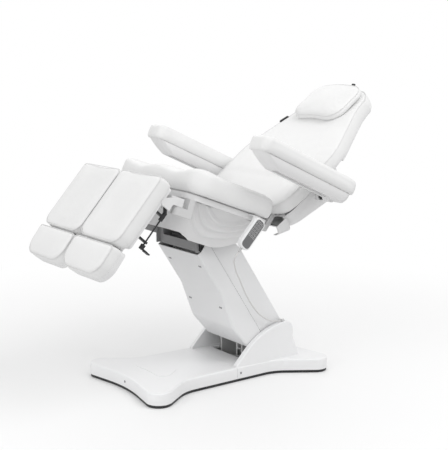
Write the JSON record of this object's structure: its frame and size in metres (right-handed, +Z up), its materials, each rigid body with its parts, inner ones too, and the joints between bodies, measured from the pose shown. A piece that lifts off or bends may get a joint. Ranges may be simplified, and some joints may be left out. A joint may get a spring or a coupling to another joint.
{
  "type": "podiatry chair",
  "caption": "Electric podiatry chair on a swept base, with a leaning lift column, tilting seat, reclining back, fold-up arms and split leg rests that swing and slide.",
  "frame": {"origin": "centre of the base footprint on the floor", "axes": "+Z up, +Y towards the head end, +X towards the sitter's left, where the handset hangs"},
  "size_m": [0.8206, 1.4106, 1.142],
  "materials": {
    "steel_frame": "satin powder coat",
    "light_frame": "satin powder coat",
    "rubber_feet": "matt",
    "base_cover": "satin moulded",
    "rim": "matt moulded",
    "screws": "satin",
    "pins": "ground",
    "inlet": "matt moulded",
    "gland": "matt",
    "column_cover": "satin moulded",
    "drives": "matt moulded",
    "rods": "ground",
    "head": "matt powder coat",
    "seat_shells": "satin moulded",
    "board": "painted plywood",
    "upholstery": "coated upholstery fabric over foam",
    "grip": "matt moulded",
    "hook": "matt",
    "handset": "satin moulded",
    "keypad": "matt membrane",
    "cord": "satin"
  },
  "bodies": {
    "base": {"base_frame": "steel_frame", "levelling_feet": "rubber_feet", "base_rim": "rim", "base_front_cover": "base_cover", "base_rear_cover": "base_cover", "slot_liner": "rim", "base_screws": "screws", "base_pins": "pins", "mains_inlet": "inlet", "cord_gland": "gland", "lift_drive": "drives", "handset_cord": "cord"},
    "front_link": {"front_arm": "steel_frame", "column_front_cover": "column_cover", "column_screws": "screws"},
    "rear_link": {"rear_arm": "steel_frame", "column_rear_cover": "column_cover"},
    "lift_rod": {"lift_rod": "rods"},
    "head": {"head_bracket": "head", "head_pins": "pins"},
    "seat": {"seat_frame": "steel_frame", "seat_tray": "seat_shells", "seat_cushion": "upholstery", "seat_shell": "seat_shells", "seat_pins": "pins", "tilt_drive": "drives", "back_drive": "drives", "handset_hook": "hook", "handset_body": "handset", "handset_keypad": "keypad", "handset_strain_relief": "gland"},
    "tilt_rod": {"tilt_rod": "rods"},
    "back_rod": {"back_rod": "rods"},
    "back": {"back_frame": "steel_frame", "back_board": "board", "back_cushion": "upholstery", "back_shell": "seat_shells", "side_grip": "grip", "arm_pins": "pins"},
    "pillow": {"head_pillow": "upholstery"},
    "arm_left": {"arm_shell_left": "seat_shells", "arm_pad_left": "upholstery"},
    "knob_left": {"arm_knob_left": "grip"},
    "leg_swing_left": {"leg_bracket_left": "light_frame"},
    "leg_left": {"leg_frame_left": "light_frame", "leg_pad_left": "upholstery", "leg_lock_left": "grip"},
    "lever_left": {"release_lever_left": "grip"},
    "foot_left": {"foot_tray_left": "light_frame", "foot_pad_left": "upholstery"},
    "arm_right": {"arm_shell_right": "seat_shells", "arm_pad_right": "upholstery"},
    "knob_right": {"arm_knob_right": "grip"},
    "leg_swing_right": {"leg_bracket_right": "light_frame"},
    "leg_right": {"leg_frame_right": "light_frame", "leg_pad_right": "upholstery", "leg_lock_right": "grip"},
    "lever_right": {"release_lever_right": "grip"},
    "foot_right": {"foot_tray_right": "light_frame", "foot_pad_right": "upholstery"}
  },
  "joints": [
    {"name": "lift", "type": "hinge", "parent": "base", "child": "front_link", "pos_m": [0, 0.16616, 0.13357], "axis": [-1, 0, 0], "range_deg": [-36, 3], "deforming": ["handset_cord"]},
    {"name": "rear_lift", "type": "hinge", "parent": "base", "child": "rear_link", "pos_m": [0, 0.21984, 0.16843], "axis": [-1, 0, 0], "range_deg": [-36.01, 3.01]},
    {"name": "head_level", "type": "hinge", "parent": "front_link", "child": "head", "pos_m": [0, -0.0762, 0.50678], "axis": [-1, 0, 0], "range_deg": [-3.01, 36.01]},
    {"name": "lift_rod_slide", "type": "slide", "parent": "base", "child": "lift_rod", "axis": [0, 1, 0], "range_m": [-0.0051, 0.0595]},
    {"name": "seat_tilt", "type": "hinge", "parent": "head", "child": "seat", "pos_m": [0, -0.02, 0.65], "axis": [-1, 0, 0], "range_deg": [-20.5, 2]},
    {"name": "tilt_rod_slide", "type": "slide", "parent": "seat", "child": "tilt_rod", "axis": [0, 0.9367, -0.3502], "range_m": [-0.0212, 0.0022]},
    {"name": "back_tilt", "type": "hinge", "parent": "seat", "child": "back", "pos_m": [0, 0.17, 0.662], "axis": [1, 0, 0], "range_deg": [-36, 38]},
    {"name": "back_rod_slide", "type": "slide", "parent": "seat", "child": "back_rod", "axis": [0, 0.9367, -0.3502], "range_m": [-0.0622, 0.0658]},
    {"name": "pillow_slide", "type": "slide", "parent": "back", "child": "pillow", "axis": [0, 0.809, 0.5878], "range_m": [-0.12, 0]},
    {"name": "arm_fold_left", "type": "hinge", "parent": "back", "child": "arm_left", "pos_m": [0, 0.34, 0.722], "axis": [-1, 0, 0], "range_deg": [-8, 95]},
    {"name": "arm_knob_left", "type": "hinge", "parent": "back", "child": "knob_left", "pos_m": [0, 0.34, 0.722], "axis": [1, 0, 0], "range_deg": [-180, 180]},
    {"name": "leg_swing_left", "type": "hinge", "parent": "seat", "child": "leg_swing_left", "pos_m": [0.247, -0.31003, 0.73453], "axis": [0, 0.3502, 0.9367], "range_deg": [0, 35]},
    {"name": "leg_raise_left", "type": "hinge", "parent": "leg_swing_left", "child": "leg_left", "pos_m": [0, -0.329, 0.757], "axis": [-1, 0, 0], "range_deg": [-20, 68]},
    {"name": "leg_lever_left", "type": "hinge", "parent": "leg_left", "child": "lever_left", "pos_m": [0, -0.45878, 0.60215], "axis": [-1, 0, 0], "range_deg": [0, 14], "stiffness_Nm_per_rad": 2},
    {"name": "foot_slide_left", "type": "slide", "parent": "leg_left", "child": "foot_left", "axis": [0, -0.6574, -0.7536], "range_m": [0, 0.1]},
    {"name": "arm_fold_right", "type": "hinge", "parent": "back", "child": "arm_right", "pos_m": [0, 0.34, 0.722], "axis": [-1, 0, 0], "range_deg": [-8, 95]},
    {"name": "arm_knob_right", "type": "hinge", "parent": "back", "child": "knob_right", "pos_m": [0, 0.34, 0.722], "axis": [-1, 0, 0], "range_deg": [-180, 180]},
    {"name": "leg_swing_right", "type": "hinge", "parent": "seat", "child": "leg_swing_right", "pos_m": [-0.247, -0.31003, 0.73453], "axis": [0, -0.3502, -0.9367], "range_deg": [0, 35]},
    {"name": "leg_raise_right", "type": "hinge", "parent": "leg_swing_right", "child": "leg_right", "pos_m": [0, -0.329, 0.757], "axis": [-1, 0, 0], "range_deg": [-20, 68]},
    {"name": "leg_lever_right", "type": "hinge", "parent": "leg_right", "child": "lever_right", "pos_m": [0, -0.45878, 0.60215], "axis": [-1, 0, 0], "range_deg": [0, 14], "stiffness_Nm_per_rad": 2},
    {"name": "foot_slide_right", "type": "slide", "parent": "leg_right", "child": "foot_right", "axis": [0, -0.6574, -0.7536], "range_m": [0, 0.1]}
  ],
  "couplings": [
    {"joint": "rear_lift", "follows": "lift", "ratio": 1},
    {"joint": "head_level", "follows": "lift", "ratio": -1},
    {"joint": "lift_rod_slide", "follows": "lift", "m_per_rad": -0.0945},
    {"joint": "tilt_rod_slide", "follows": "seat_tilt", "m_per_rad": 0.0587},
    {"joint": "back_rod_slide", "follows": "back_tilt", "m_per_rad": 0.0975}
  ]
}
